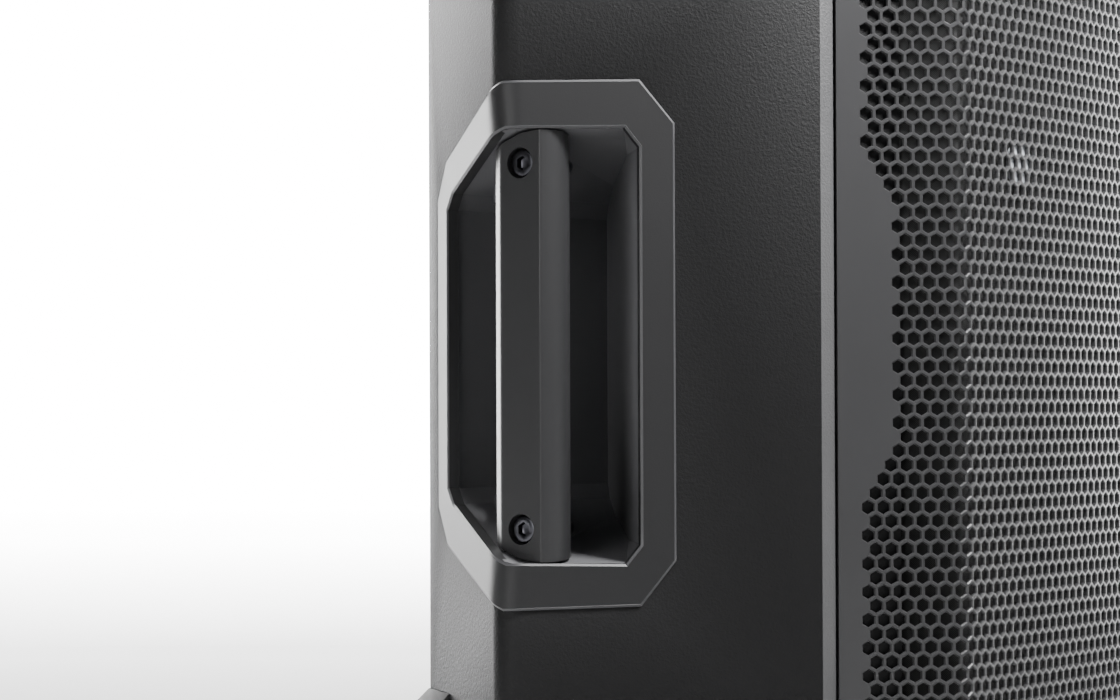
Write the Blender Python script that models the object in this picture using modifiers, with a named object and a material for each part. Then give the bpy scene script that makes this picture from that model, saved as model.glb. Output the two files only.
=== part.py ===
"""Compact full-range line array module: a wedge-shaped cabinet behind a curved perforated grille,
with a grip bar let into each rear corner. Metres, +Z up, front towards -Y, origin under the middle.
"""
from math import asin, cos, pi, radians, sin, tan

import bmesh
import bpy
import numpy as np
from mathutils import Matrix, Vector

# ---- cabinet plan ----
FRONT_RADIUS = 1.089
FRONT_HALF = 0.2275
FRONT_TURN = radians(39.9)
SIDE_LENGTH = 0.189
CORNER_TURN = radians(84)
CORNER_RADIUS = 0.010
FACET_LENGTH = 0.100
HEAT_SINK_REACH = 0.030
WALL = 0.012
GAP = 0.0003

# ---- heights ----
FOOT = 0.004
TOP = 0.342
MIDDLE = (FOOT + TOP) / 2
HANDLE_Z = 0.1645

# ---- side panel and grille ----
BAND_START = 0.131
BAND_END = 0.1373
BAND_DEPTH = 0.0032
TONGUE_END = 0.165
TONGUE_DEPTH = 0.0045
FLANGE_DEPTH = 0.0022
GRILLE_THICK = 0.0015
GRILLE_MARGIN = 0.004
CLOTH_SETBACK = 0.0055
CLOTH_THICK = 0.0008
PANEL_SETBACK = 0.0100
BAFFLE_SETBACK = 0.056
BAFFLE_THICK = 0.015

# ---- handle: outlines run along the folded surface from the corner, + forwards and - backwards ----
BEZEL_RUN = (-0.0845, -0.0715, 0.0, 0.0568, 0.0710)
BEZEL_RISE = (0.0632, 0.0788, 0.1035, 0.1036, 0.0863)
BEZEL_THICK = 0.004
BEZEL_PROUD = 0.0008
HANDLE_RAKE = 0.022
CUP_WALL = 0.003
RECESS_TURN = radians(39)
RECESS_FACET_RUN = 0.0693
RECESS_FRONT_RUN = 0.0568
RECESS_FRONT_CORNER = (0.0736, 0.1343)
RECESS_REAR_RISE = 0.0845
RECESS_REAR_SLOPE = 0.409
RECESS_FRONT_RISE = 0.0859
RECESS_FRONT_SLOPE = 0.157
RECESS_BACK_RISE = 0.057
RECESS_CHAMFER = ((0.0507, 0.0859), (0.0568, 0.0784))
BAR_CORNERS = ((0.0166, 0.0, 0.0006), (0.0312, 0.0, 0.0135), (0.0312, 0.025, 0.008),
               (0.0027, 0.025, 0.005), (0.0036, 0.014, 0.0035))
BAR_GAP = 0.0012
BAR_POST = ((0.006, 0.0253), (0.026, 0.0253), (0.034, 0.100), (0.016, 0.100))
SCREW_POINT = (0.0102, 0.0070)
SCREW_TURN = radians(47)
SCREW_RISE = 0.072
SCREW_HEAD = 0.005
COUNTERBORE = 0.0061

# ---- drivers ----
WOOFER_X = 0.127
WOOFER_RADIUS = 0.104
CONE_RADIUS = 0.084
SEAT = -0.0043
HORN_HALF = 0.017
HORN_RISE = 0.138

# ---- rear plate and rigging ----
PLATE_HALF = 0.160
PLATE_RISE = 0.120
PLATE_THICK = 0.003
FINS = 11
FIN_THICK = 0.0030
TRACK_X = 0.195
LINK_TRAVEL = 0.060
FRONT_LINK_X = 0.150
FRONT_LINK_Y = 0.084
FRONT_LINK_LENGTH = 0.070
TRAY_WALL = 0.003
LINK_EYE = 0.0045
TRACK_HALF = 0.016
TRACK_DEEP = 0.022
TRACK_LOW = 0.040
TRACK_HIGH = 0.310
CHANNEL_HALF = 0.0085
MOUTH_HALF = 0.0055
REAR_LINK_HALF = 0.008
REAR_LINK_LOW = 0.120
REAR_LINK_HIGH = 0.334
PIN_Z = 0.245
PIN_RADIUS = 0.0040
PIN_HEAD = 0.0068
FRONT_FOOT_X = 0.190
FRONT_FOOT_Y = 0.070
BUMPER_RISE = 0.0235

EDGE_TURN = asin(FRONT_HALF / FRONT_RADIUS)
SIDE_TURN = EDGE_TURN + FRONT_TURN
SAGITTA = FRONT_RADIUS * (1 - cos(EDGE_TURN))
FACET_TURN = SIDE_TURN + CORNER_TURN
BODY_DEPTH = SAGITTA + SIDE_LENGTH * sin(SIDE_TURN) + FACET_LENGTH * sin(FACET_TURN)
FRONT_Y = -(BODY_DEPTH + HEAT_SINK_REACH) / 2
BACK_Y = FRONT_Y + BODY_DEPTH
CORNER_X = -(FRONT_HALF + SIDE_LENGTH * cos(SIDE_TURN))
CORNER_Y = FRONT_Y + SAGITTA + SIDE_LENGTH * sin(SIDE_TURN)
ALONG = np.array((cos(SIDE_TURN), -sin(SIDE_TURN)))
INTO = np.array((sin(SIDE_TURN), cos(SIDE_TURN)))
TANGENT = CORNER_RADIUS * tan(CORNER_TURN / 2)
SIDES = {"left": 1, "right": -1}

bpy.context.scene.unit_settings.system = "METRIC"
for leftover in list(bpy.data.objects):
    bpy.data.objects.remove(leftover)
speaker = bpy.data.collections.new("line_array_speaker")
cutters = bpy.data.collections.new("cutters")
bpy.context.scene.collection.children.link(speaker)
bpy.context.scene.collection.children.link(cutters)


# ---- materials ----
def material(name, colour, roughness, metallic=0.0):
    """A Principled material of one finish."""
    made = bpy.data.materials.new(name)
    made.use_nodes = True
    shader = made.node_tree.nodes["Principled BSDF"]
    shader.inputs["Base Color"].default_value = (*colour, 1.0)
    shader.inputs["Roughness"].default_value = roughness
    shader.inputs["Metallic"].default_value = metallic
    return made


# ---- making and cutting ----
def add(name, mesh, finish, smooth=False):
    """Links a mesh as one sub-part, with a material of its own."""
    obj = bpy.data.objects.new(name, mesh)
    speaker.objects.link(obj)
    colour, roughness, metallic = finish
    mesh.materials.append(material(name, colour, roughness, metallic))
    if smooth:
        mesh.shade_smooth()
        mesh.set_sharp_from_angle(angle=radians(35))
    return obj


def as_mesh(bm, name):
    """A mesh from a bmesh, with all faces turned outwards."""
    bmesh.ops.recalc_face_normals(bm, faces=bm.faces)
    mesh = bpy.data.meshes.new(name)
    bm.to_mesh(mesh)
    bm.free()
    return mesh


def plate(name, outline, low, high):
    """A flat outline in plan, extruded from one height to another, as a mesh."""
    curve = bpy.data.curves.new(name, "CURVE")
    curve.dimensions = "2D"
    curve.fill_mode = "BOTH"
    curve.extrude = (high - low) / 2
    spline = curve.splines.new("POLY")
    spline.points.add(len(outline) - 1)
    for point, (x, y) in zip(spline.points, outline):
        point.co = (x, y, 0, 1)
    spline.use_cyclic_u = True
    drawn = bpy.data.objects.new(name, curve)
    cutters.objects.link(drawn)
    bpy.context.view_layer.update()
    evaluated = drawn.evaluated_get(bpy.context.evaluated_depsgraph_get())
    mesh = bpy.data.meshes.new_from_object(evaluated)
    bpy.data.objects.remove(drawn)
    bm = bmesh.new()
    bm.from_mesh(mesh)
    bmesh.ops.remove_doubles(bm, verts=bm.verts, dist=1e-6)
    bmesh.ops.translate(bm, verts=bm.verts, vec=(0, 0, (low + high) / 2))
    bpy.data.meshes.remove(mesh)
    return as_mesh(bm, name)


def block(name, low, high):
    """A box between two corners, as a mesh."""
    bm = bmesh.new()
    low, high = Vector(low), Vector(high)
    bmesh.ops.create_cube(bm, size=1.0)
    bmesh.ops.scale(bm, verts=bm.verts, vec=high - low)
    bmesh.ops.translate(bm, verts=bm.verts, vec=(low + high) / 2)
    return as_mesh(bm, name)


def rod(name, start, end, radius, segments=24):
    """A cylinder from one point to another, as a mesh."""
    bm = bmesh.new()
    start, end = Vector(start), Vector(end)
    axis = end - start
    bmesh.ops.create_cone(bm, cap_ends=True, segments=segments, radius1=radius, radius2=radius,
                          depth=axis.length)
    turn = axis.to_track_quat("Z", "Y").to_matrix().to_4x4()
    bmesh.ops.transform(bm, verts=bm.verts, matrix=Matrix.Translation((start + end) / 2) @ turn)
    return as_mesh(bm, name)


def turned(name, profile, finish, place, backwards=True, steps=24):
    """A profile of (radius, distance) points turned about an axis along +Y, or -Y, from a place."""
    bm = bmesh.new()
    area = sum(r * d2 - r2 * d for (r, d), (r2, d2) in zip(profile, profile[1:] + profile[:1]))
    if area > 0:
        profile = profile[::-1]
    points = [bm.verts.new((radius, 0, distance)) for radius, distance in profile]
    open_ends = profile[0][0] < 1e-9 and profile[-1][0] < 1e-9
    for one, two in zip(points, points[1:] + ([] if open_ends else points[:1])):
        bm.edges.new((one, two))
    mesh = bpy.data.meshes.new(name)
    bm.to_mesh(mesh)
    bm.free()
    obj = add(name, mesh, finish)
    screw = obj.modifiers.new("turn", "SCREW")
    screw.steps = steps
    screw.render_steps = steps
    screw.use_merge_vertices = True
    screw.merge_threshold = 0.00005
    obj.rotation_euler = (-pi / 2 if backwards else pi / 2, 0, 0)
    obj.location = place
    return obj


def cutter(mesh, name):
    """Links a mesh as a cutter, which is drawn as wires and never rendered."""
    obj = bpy.data.objects.new("cut_" + name, mesh)
    obj.hide_render = True
    obj.display_type = "WIRE"
    cutters.objects.link(obj)
    return obj


def boolean(obj, mesh, operation="DIFFERENCE"):
    """Cuts an object with a mesh, joins the mesh to it, or keeps only what they share."""
    step = obj.modifiers.new(operation.lower(), "BOOLEAN")
    step.operation = operation
    step.object = cutter(mesh, obj.name)
    return obj


# ---- plan geometry, written for the left side and mirrored for the right ----
def local(side, forwards, inwards):
    """A plan point given along the side panel from the corner, and inwards from its face."""
    x, y = np.array((CORNER_X, CORNER_Y)) + ALONG * forwards + INTO * inwards
    return side * x, y


def facet_point(side, run, inwards):
    """A plan point given along the rear facet from the corner, and inwards from its face."""
    return local(side, run * cos(pi - CORNER_TURN) + inwards * sin(CORNER_TURN),
                 run * sin(pi - CORNER_TURN) + inwards * cos(CORNER_TURN))


def folded(side, run, inwards):
    """A plan point given along the outer skin: + on the side panel, - on the facet, round between."""
    if run >= TANGENT:
        return local(side, run, inwards)
    if run <= -TANGENT:
        return facet_point(side, -run, inwards)
    turn = (TANGENT - run) / (2 * TANGENT) * CORNER_TURN
    reach = CORNER_RADIUS - inwards
    return local(side, TANGENT - reach * sin(turn), CORNER_RADIUS - reach * cos(turn))


def front_point(turn, inwards):
    """A plan point on the curved front, by its angle from the middle."""
    reach = FRONT_RADIUS - inwards
    return reach * sin(turn), FRONT_Y + FRONT_RADIUS - reach * cos(turn)


def facet_inner_x(y, inwards):
    """How far from the middle the facet's inner face is at one depth."""
    near, far = facet_point(1, 0.02, inwards), facet_point(1, 0.09, inwards)
    return abs(near[0] + (far[0] - near[0]) * (y - near[1]) / (far[1] - near[1]))


def side_inner_x(y, inwards):
    """How far from the middle the side panel's inner face is at one depth."""
    near, far = local(1, 0.02, inwards), local(1, 0.16, inwards)
    return abs(near[0] + (far[0] - near[0]) * (y - near[1]) / (far[1] - near[1]))


def fillet(corners, segments=6):
    """An outline from (x, y, radius) corners, with each corner rounded as an arc."""
    outline = []
    for i, (x, y, radius) in enumerate(corners):
        here = Vector((x, y))
        before = (Vector(corners[i - 1][:2]) - here).normalized()
        after = (Vector(corners[(i + 1) % len(corners)][:2]) - here).normalized()
        half = before.angle(after) / 2
        middle = here + (before + after).normalized() * radius / sin(half)
        start = here + before * radius / tan(half) - middle
        sweep = before.cross(after)
        total = (pi - 2 * half) * (1 if sweep < 0 else -1)
        for step in range(segments + 1):
            turn = Matrix.Rotation(total * step / segments, 2)
            outline.append(tuple(middle + turn @ start))
    return outline


# ---- the handle's recess, as the space inside a few planes ----
def recess_planes(side, grow):
    """Point and outward normal of each recess wall, moved outwards by grow."""
    into = np.array((-sin(RECESS_TURN), cos(RECESS_TURN), 0))
    start = np.array((RECESS_FACET_RUN * cos(pi - CORNER_TURN),
                      RECESS_FACET_RUN * sin(pi - CORNER_TURN), 0))
    depth = into @ start
    front = np.array((RECESS_FRONT_RUN, 0, 0))
    wall = np.array((*RECESS_FRONT_CORNER, 0)) - front
    planes = [(start, into), (front, np.array((wall[1], -wall[0], 0)))]
    for up in (1, -1):
        rise = np.array((0, 0, up))
        (run_a, rise_a), (run_b, rise_b) = RECESS_CHAMFER
        chamfer = np.cross(wall, np.array((run_b - run_a, 0, up * (rise_b - rise_a))))
        planes += [
            (rise * RECESS_REAR_RISE, rise + RECESS_REAR_SLOPE * into),
            (rise * RECESS_FRONT_RISE, rise + RECESS_FRONT_SLOPE * np.array((0, 1, 0))),
            (rise * (RECESS_BACK_RISE + depth), rise + into),
            (np.array((run_a, 0, up * rise_a)), chamfer if chamfer[0] > 0 else -chamfer),
        ]
    return [plane_in_space(side, point, normal, grow) for point, normal in planes]


def skin_planes(side, inwards):
    """The side panel's and the facet's own planes, moved inwards, with normals pointing out."""
    facet_out = np.array((-sin(CORNER_TURN), -cos(CORNER_TURN), 0))
    return [plane_in_space(side, np.zeros(3), np.array((0, -1.0, 0)), -inwards),
            plane_in_space(side, np.zeros(3), facet_out, -inwards)]


def post_planes(side, low, high):
    """Walls of a post behind the bar, hidden behind it, between two heights from the handle's centre."""
    up = np.array((0, 0, 1.0))
    planes = [(low * up, -up), (high * up, up)]
    middle = np.mean(BAR_POST, axis=0)
    for (x, y), (x_next, y_next) in zip(BAR_POST, BAR_POST[1:] + BAR_POST[:1]):
        normal = np.array((y_next - y, x - x_next, 0))
        if normal[:2] @ (np.array((x, y)) - middle) < 0:
            normal = -normal
        planes.append((np.array((x, y, 0)), normal))
    return [plane_in_space(side, point, normal, 0) for point, normal in planes]


def plane_in_space(side, point, normal, grow):
    """A plane given along, into and up from the corner, in the object's own frame."""
    normal = np.array(normal, float) / np.linalg.norm(normal)
    point = np.array(point, float) + normal * grow
    x, y = local(side, point[0], point[1])
    flat = ALONG * normal[0] + INTO * normal[1]
    return Vector((x, y, HANDLE_Z + point[2])), Vector((side * flat[0], flat[1], normal[2]))


def cell(name, planes):
    """The convex space inside all the planes, as a mesh."""
    bm = bmesh.new()
    bmesh.ops.create_cube(bm, size=2.0)
    for point, normal in planes:
        everything = [*bm.verts, *bm.edges, *bm.faces]
        sliced = bmesh.ops.bisect_plane(bm, geom=everything, plane_co=point, plane_no=normal,
                                        clear_outer=True)
        rim = [e for e in sliced["geom_cut"] if isinstance(e, bmesh.types.BMEdge)]
        bmesh.ops.edgenet_fill(bm, edges=rim)
    return as_mesh(bm, name)


def bezel(name, side, grow, outer, inner):
    """The eight-sided bezel plate, folded round the corner between two depths."""
    runs = sorted(set(BEZEL_RUN) | {TANGENT * k / 4 for k in range(-4, 5)})
    runs[0], runs[-1] = runs[0] - grow, runs[-1] + grow
    bm = bmesh.new()
    loops = []
    for run in runs:
        rise = float(np.interp(run, BEZEL_RUN, BEZEL_RISE)) + grow
        loop = []
        for depth, up in ((outer, 1), (inner, 1), (inner, -1), (outer, -1)):
            x, y = folded(side, run, depth)
            loop.append(bm.verts.new((x, y, HANDLE_Z + up * rise + HANDLE_RAKE * run)))
        loops.append(loop)
    for one, two in zip(loops, loops[1:]):
        for i in range(4):
            bm.faces.new((one[i], one[(i + 1) % 4], two[(i + 1) % 4], two[i]))
    bm.faces.new(loops[0])
    bm.faces.new(loops[-1])
    return as_mesh(bm, name)


BLACK_PAINT = ((0.012, 0.012, 0.013), 0.55, 0.0)
SATIN_PLASTIC = ((0.016, 0.016, 0.017), 0.45, 0.0)
BLACK_STEEL = ((0.020, 0.020, 0.021), 0.40, 0.3)
BRIGHT_STEEL = ((0.45, 0.45, 0.46), 0.30, 1.0)
DARK_CLOTH = ((0.010, 0.010, 0.010), 0.95, 0.0)
RUBBER = ((0.014, 0.014, 0.014), 0.80, 0.0)
PAPER = ((0.020, 0.020, 0.021), 0.85, 0.0)
MAGNET = ((0.050, 0.050, 0.052), 0.55, 0.6)
BOARD = ((0.010, 0.060, 0.030), 0.50, 0.0)
LENS = ((0.700, 0.720, 0.740), 0.20, 0.0)


# ---- cabinet ----
def side_shell(word, side):
    """Side panel, round corner and rear facet in one skin, cut out for the handle."""
    runs = [k / 6 * TANGENT for k in range(6, -7, -1)]
    outline = [local(side, TONGUE_END, TONGUE_DEPTH), local(side, BAND_END, TONGUE_DEPTH),
               local(side, BAND_END, BAND_DEPTH), local(side, BAND_START, 0)]
    outline += [folded(side, run, 0) for run in runs]
    outline.append((side * -facet_inner_x(BACK_Y, 0), BACK_Y))
    outline.append((side * -facet_inner_x(BACK_Y, WALL), BACK_Y))
    outline.append(local(side, WALL * tan(CORNER_TURN / 2), WALL))
    outline.append(local(side, TONGUE_END, WALL))
    shell = add(word + "_side_shell", plate("shell", outline, FOOT, TOP), BLACK_PAINT)
    boolean(shell, bezel("bezel_seat", side, GAP, -0.004, BEZEL_THICK + GAP))
    boolean(shell, cell("cup_seat", recess_planes(side, CUP_WALL + GAP)))


def panel_outline():
    """Plan outline of the top and bottom panels, just inside the shells and behind the grille."""
    inwards = WALL + GAP
    front = [front_point(turn, PANEL_SETBACK) for turn in np.linspace(-EDGE_TURN, EDGE_TURN, 13)]
    right = [local(-1, SIDE_LENGTH - PANEL_SETBACK / 2, PANEL_SETBACK),
             local(-1, TONGUE_END + GAP, PANEL_SETBACK), local(-1, TONGUE_END + GAP, inwards),
             local(-1, inwards * tan(CORNER_TURN / 2), inwards)]
    back_y = BACK_Y - WALL - GAP
    right.append((facet_inner_x(back_y, inwards), back_y))
    left = [(-x, y) for x, y in reversed(right)]
    return front[1:-1] + right + left


def end_panels():
    """The top and bottom panels, the top one pierced for the two link trays."""
    add("bottom_panel", plate("bottom", panel_outline(), FOOT, FOOT + WALL), BLACK_PAINT)
    top = add("top_panel", plate("top", panel_outline(), TOP - WALL, TOP), BLACK_PAINT)
    for side in SIDES.values():
        low, high = tray_box(side)
        boolean(top, block("tray_seat", low - Vector((GAP, GAP, 0.01)), high + Vector((GAP, GAP, 0.01))))


def back_panel():
    """The flat back between the facets, open for the amplifier."""
    front = BACK_Y - WALL
    inwards = WALL + GAP
    outline = [(sign * facet_inner_x(y, inwards), y)
               for sign, y in ((-1, front), (1, front), (1, BACK_Y), (-1, BACK_Y))]
    panel = add("back_panel", plate("back", outline, FOOT + WALL + GAP, TOP - WALL - GAP), BLACK_PAINT)
    border = 0.012
    boolean(panel, block("amp_opening", (border - PLATE_HALF, BACK_Y - 0.05, MIDDLE - PLATE_RISE + border),
                         (PLATE_HALF - border, BACK_Y + 0.05, MIDDLE + PLATE_RISE - border)))


def front_baffle():
    """The driver panel, with woofer holes, the waveguide slot and four ports."""
    front, back = FRONT_Y + BAFFLE_SETBACK, FRONT_Y + BAFFLE_SETBACK + BAFFLE_THICK
    inwards = WALL + GAP
    outline = [(sign * side_inner_x(y, inwards), y)
               for sign, y in ((-1, front), (1, front), (1, back), (-1, back))]
    panel = add("front_baffle", plate("baffle", outline, FOOT + WALL + GAP, TOP - WALL - GAP), BLACK_PAINT)
    for x in (-WOOFER_X, WOOFER_X):
        boolean(panel, rod("woofer_hole", (x, front - 0.02, MIDDLE), (x, back + 0.02, MIDDLE),
                           WOOFER_RADIUS - 0.008, 32))
        for z in (MIDDLE - 0.128, MIDDLE + 0.128):
            port_x = x * 0.205 / WOOFER_X
            boolean(panel, rod("port", (port_x, front - 0.02, z), (port_x, back + 0.02, z), 0.022))
    boolean(panel, block("slot", (-HORN_HALF - GAP, front - 0.02, MIDDLE - HORN_RISE - GAP),
                         (HORN_HALF + GAP, back + 0.02, MIDDLE + HORN_RISE + GAP)))


def wrapped_sheet(inwards, thickness, start):
    """Plan outline of a sheet that runs from one flange round the front to the other."""
    def line(depth):
        turns = np.linspace(-EDGE_TURN, EDGE_TURN, 15)
        bend = FLANGE_DEPTH / tan(FRONT_TURN / 2)
        arc = [front_point(turn, depth) for turn in turns[1:-1]]
        left = [local(1, start, FLANGE_DEPTH + depth), local(1, SIDE_LENGTH - bend, FLANGE_DEPTH + depth)]
        return left + arc + [(-x, y) for x, y in reversed(left)]
    return line(inwards) + line(inwards + thickness)[::-1]


def grille():
    """The bent and curved grille sheet, here without its perforation, with the cloth behind it."""
    low, high = FOOT + GRILLE_MARGIN, TOP - GRILLE_MARGIN
    start = BAND_END + 0.0009
    add("grille", plate("grille", wrapped_sheet(0, GRILLE_THICK, start), low, high), BLACK_STEEL)
    cloth = wrapped_sheet(CLOTH_SETBACK, CLOTH_THICK, TONGUE_END + 0.001)
    add("grille_cloth", plate("cloth", cloth, low + 0.002, high - 0.002), DARK_CLOTH)
    turn = EDGE_TURN - 0.054 / FRONT_RADIUS
    x, y = front_point(-turn, GRILLE_THICK + GAP)
    lens = rod("front_lens", (0, 0, 0), (0, 0.0028, 0), 0.009)
    led = add("front_lens", lens, LENS)
    led.location = (x, y, MIDDLE + 0.0675)
    led.rotation_euler = (0, 0, -turn)


# ---- handles ----
def handle(word, side):
    """Cup with folded bezel, grip bar and the two socket screws that hold the bar."""
    cup = add(word + "_handle_cup", bezel("bezel", side, 0, -BEZEL_PROUD, BEZEL_THICK), SATIN_PLASTIC)
    pocket = recess_planes(side, CUP_WALL) + skin_planes(side, BEZEL_THICK / 2)
    boolean(cup, cell("pocket", pocket), "UNION")
    boolean(cup, cell("recess", recess_planes(side, 0) + skin_planes(side, -0.02)))
    bar = add(word + "_handle_bar",
              plate("bar", [local(side, x, y) for x, y in fillet(BAR_CORNERS)],
                    HANDLE_Z - 0.1, HANDLE_Z + 0.1), SATIN_PLASTIC)
    boolean(bar, cell("bar_ends", recess_planes(side, -BAR_GAP)), "INTERSECT")
    along = np.array((sin(SCREW_TURN), cos(SCREW_TURN)))
    for level, z in (("upper", HANDLE_Z + SCREW_RISE), ("lower", HANDLE_Z - SCREW_RISE)):
        def on_axis(depth):
            x, y = local(side, *(np.array(SCREW_POINT) + along * depth))
            return Vector((x, y, z))
        low, high = sorted(((z - HANDLE_Z) * 0.85, (z - HANDLE_Z) * 1.15))
        boolean(cup, cell("post", pocket + post_planes(side, low, high)), "UNION")
        boolean(cup, rod("thread", on_axis(-0.01), on_axis(0.034), 0.0033, 16))
        boolean(bar, rod("counterbore", on_axis(-0.02), on_axis(0.008), COUNTERBORE, 24))
        boolean(bar, rod("shank_hole", on_axis(-0.02), on_axis(0.05), 0.0033, 16))
        head = rod("head", on_axis(0.0015), on_axis(0.0077), SCREW_HEAD, 24)
        screw = add(f"{word}_handle_screw_{level}", head, BRIGHT_STEEL)
        boolean(screw, rod("shank", on_axis(0.007), on_axis(0.032), 0.003, 16), "UNION")
        boolean(screw, rod("hex", on_axis(-0.001), on_axis(0.0045), 0.0029, 6))


# ---- drivers ----
def woofer(word, x):
    """Frame, magnet, surround and moving cone of one woofer, facing the front."""
    seat = (x, FRONT_Y + BAFFLE_SETBACK, MIDDLE)
    outer = WOOFER_RADIUS
    turned(word + "_woofer_frame", [
        (0.060, 0.066), (0.058, 0.063), (outer - 0.0125, 0.004), (outer - 0.0125, -0.004),
        (outer, -0.004), (outer, -GAP), (outer - 0.0095, -GAP), (outer - 0.0095, 0.004),
        (0.064, 0.066)], BLACK_STEEL, seat)
    turned(word + "_magnet", [
        (0.0, 0.092), (0.070, 0.092), (0.070, 0.0665), (0.0222, 0.0665), (0.0222, 0.088),
        (0.0168, 0.088), (0.0168, 0.0665), (0.0, 0.0665)], MAGNET, seat)
    arc = np.linspace(0, pi, 5)
    front = [(CONE_RADIUS + 0.0055 - 0.0042 * cos(a), SEAT - 0.0006 - 0.0042 * sin(a)) for a in arc]
    back = [(CONE_RADIUS + 0.0055 - 0.0034 * cos(a), SEAT - 0.0034 * sin(a)) for a in arc[::-1]]
    lip = [(CONE_RADIUS + 0.0145, SEAT - 0.0006), (CONE_RADIUS + 0.0145, SEAT)]
    root = [(CONE_RADIUS + 0.0006, SEAT), (CONE_RADIUS + 0.0006, SEAT - 0.0006)]
    turned(word + "_surround", root + front + lip + back, RUBBER, seat)
    turned(word + "_cone", [
        (CONE_RADIUS, SEAT - 0.0006), (CONE_RADIUS, SEAT + 0.0012), (0.0200, 0.042), (0.0200, 0.078),
        (0.0190, 0.078), (0.0190, 0.042), (0.0, 0.042), (0.0, 0.028), (0.012, 0.030),
        (0.024, 0.036), (CONE_RADIUS - 0.003, SEAT - 0.0006)], PAPER, seat)


def waveguide():
    """The tall slot horn between the woofers and the compression driver behind it."""
    front, back = FRONT_Y + BAFFLE_SETBACK, FRONT_Y + BAFFLE_SETBACK + 0.085
    wall = 0.003

    def funnel(inset, near, far):
        outline = [(near, -HORN_RISE + inset), (near, HORN_RISE - inset),
                   (far, 0.022 - inset), (far, inset - 0.022)]
        mesh = plate("funnel", outline, inset - HORN_HALF, HORN_HALF - inset)
        turn = Matrix(((0, 0, 1, 0), (1, 0, 0, 0), (0, 1, 0, MIDDLE), (0, 0, 0, 1)))
        mesh.transform(turn)
        return mesh

    horn = add("waveguide", funnel(0, front, back), SATIN_PLASTIC)
    boolean(horn, funnel(wall, front - 0.01, back - wall))
    boolean(horn, rod("throat", (0, back - 0.02, MIDDLE), (0, back + 0.02, MIDDLE), 0.0125))
    turned("compression_driver", [
        (0.0125, 0.020), (0.0125, 0.0), (0.038, 0.0), (0.043, 0.006), (0.043, 0.040), (0.0, 0.040),
        (0.0, 0.020)], MAGNET, (0, back + GAP, MIDDLE))


# ---- amplifier ----
SOCKETS = {"signal_input": (-0.125, 0.070, 0.0120), "signal_link": (-0.125, 0.035, 0.0120),
           "mains_inlet": (-0.125, -0.040, 0.0130), "mains_link": (-0.125, -0.080, 0.0130)}
KNOB = (-0.080, 0.070, 0.0034)
BUTTON = (-0.080, 0.035, 0.0052)
STATUS = (-0.080, 0.005, 0.0030)
ROCKER = (-0.080, -0.060)
ROCKER_HALF = (0.0065, 0.0100)


def amplifier():
    """Rear plate with its heat sink, board, sockets, knob, button, lens and rocker."""
    face = BACK_Y + GAP
    outside = face + PLATE_THICK
    cover = add("amp_plate", block("cover", (-PLATE_HALF, face, MIDDLE - PLATE_RISE),
                                   (PLATE_HALF, outside, MIDDLE + PLATE_RISE)), BLACK_STEEL)
    for x, z, radius in [*SOCKETS.values(), KNOB, BUTTON, STATUS]:
        boolean(cover, rod("hole", (x, face - 0.01, MIDDLE + z), (x, outside + 0.01, MIDDLE + z),
                           radius + GAP))
    x, z = ROCKER
    wide, tall = ROCKER_HALF
    boolean(cover, block("rocker_hole", (x - wide - 0.001, face - 0.01, MIDDLE + z - tall - 0.001),
                         (x + wide + 0.001, outside + 0.01, MIDDLE + z + tall + 0.001)))
    for name, (x, z, radius) in SOCKETS.items():
        turned(name, [
            (radius + 0.003, 0.0025), (radius + 0.003, GAP), (radius, GAP), (radius, -0.022),
            (0.0, -0.022), (0.0, -0.012), (radius - 0.0025, -0.012), (radius - 0.0025, 0.0025)],
            SATIN_PLASTIC, (x, outside, MIDDLE + z), steps=24)
    x, z, radius = KNOB
    turned("level_knob", [
        (0.0, 0.015), (0.0072, 0.015), (0.0085, 0.0135), (0.0090, 0.0012), (radius, 0.0012),
        (radius, -0.010), (0.0, -0.010)], SATIN_PLASTIC, (x, outside, MIDDLE + z), steps=24)
    x, z, radius = BUTTON
    turned("preset_button", [
        (0.0, 0.0030), (radius - 0.0006, 0.0030), (radius, 0.0024), (radius, -0.0080), (0.0, -0.0080)],
        SATIN_PLASTIC, (x, outside, MIDDLE + z), steps=24)
    x, z, radius = STATUS
    turned("status_lens", [
        (0.0, 0.0012), (radius * 0.7, 0.0009), (radius, 0.0), (radius, -0.0060), (0.0, -0.0060)],
        LENS, (x, outside, MIDDLE + z), steps=16)
    x, z = ROCKER
    ridge = [(-tall, 0.0006), (0.0, 0.0022), (tall, 0.0050), (tall - 0.002, -0.008), (0.002 - tall, -0.008)]
    rocker = plate("rocker", ridge, -wide, wide)
    rocker.transform(Matrix(((0, 0, 1, x), (0, 1, 0, outside), (1, 0, 0, MIDDLE + z), (0, 0, 0, 1))))
    rocker.flip_normals()
    add("mains_switch", rocker, SATIN_PLASTIC)
    sink_low, sink_high = (0.012, MIDDLE - 0.100), (0.112, MIDDLE + 0.100)
    reach = BACK_Y + HEAT_SINK_REACH
    sink = add("heat_sink", block("sink", (sink_low[0], outside + GAP, sink_low[1]),
                                  (sink_high[0], reach, sink_high[1])), BLACK_STEEL)
    pitch = (sink_high[0] - sink_low[0] - FIN_THICK) / (FINS - 1)
    for k in range(FINS - 1):
        start = sink_low[0] + FIN_THICK + pitch * k
        boolean(sink, block("fin_gap", (start, outside + 0.005, sink_low[1] - 0.01),
                            (start + pitch - FIN_THICK, reach + 0.01, sink_high[1] + 0.01)))
    board = add("circuit_board", block("board", (-0.060, BACK_Y - 0.032, MIDDLE - 0.085),
                                       (0.130, BACK_Y - 0.030, MIDDLE + 0.085)), BOARD)
    boolean(board, block("spreader", (0.020, BACK_Y - 0.031, MIDDLE - 0.070),
                         (0.105, face - GAP, MIDDLE + 0.070)), "UNION")


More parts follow.
